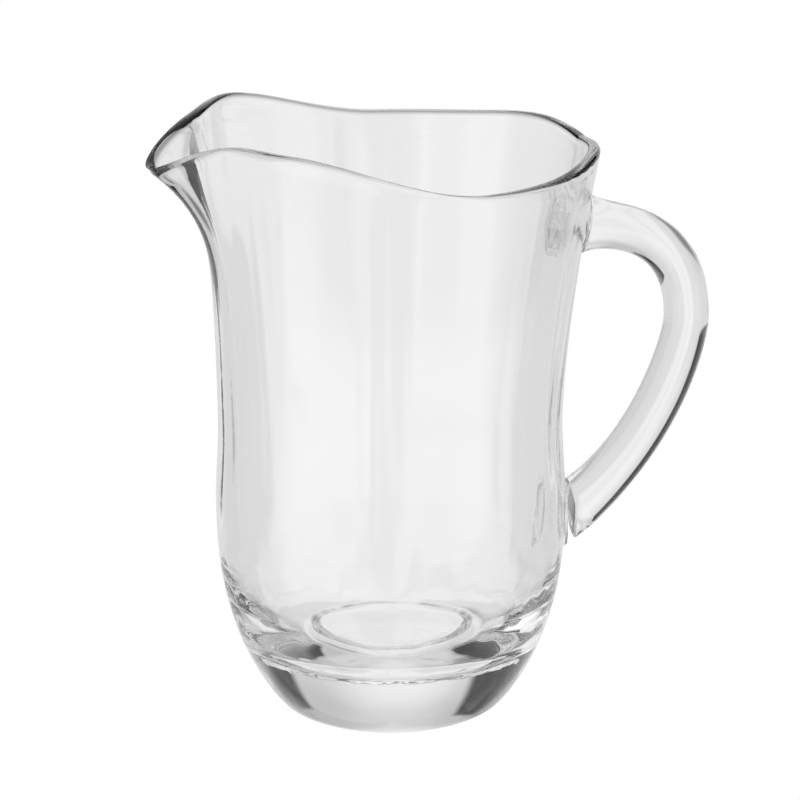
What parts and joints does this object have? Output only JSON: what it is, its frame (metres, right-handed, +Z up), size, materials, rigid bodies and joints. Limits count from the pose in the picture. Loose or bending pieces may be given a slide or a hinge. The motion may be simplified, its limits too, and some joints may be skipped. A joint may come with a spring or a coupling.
{
  "type": "glass jug",
  "caption": "Clear glass water jug with a thick solid base, round belly, wavy rim, pulled pouring spout and a bent glass-rod handle joined at glass pads.",
  "frame": {"origin": "centre of the flat underside the jug stands on", "axes": "+Z up along the body's axis, +X towards the handle, -X towards the spout, +Y across"},
  "size_m": [0.1995, 0.1422, 0.2083],
  "materials": {
    "body_glass": "clear, polished",
    "handle_glass": "clear, fire-polished",
    "pad_glass": "clear, fire-polished"
  },
  "bodies": {
    "root": {"glass_body": "body_glass", "handle": "handle_glass", "upper_handle_pad": "pad_glass", "lower_handle_pad": "pad_glass"}
  },
  "joints": []
}
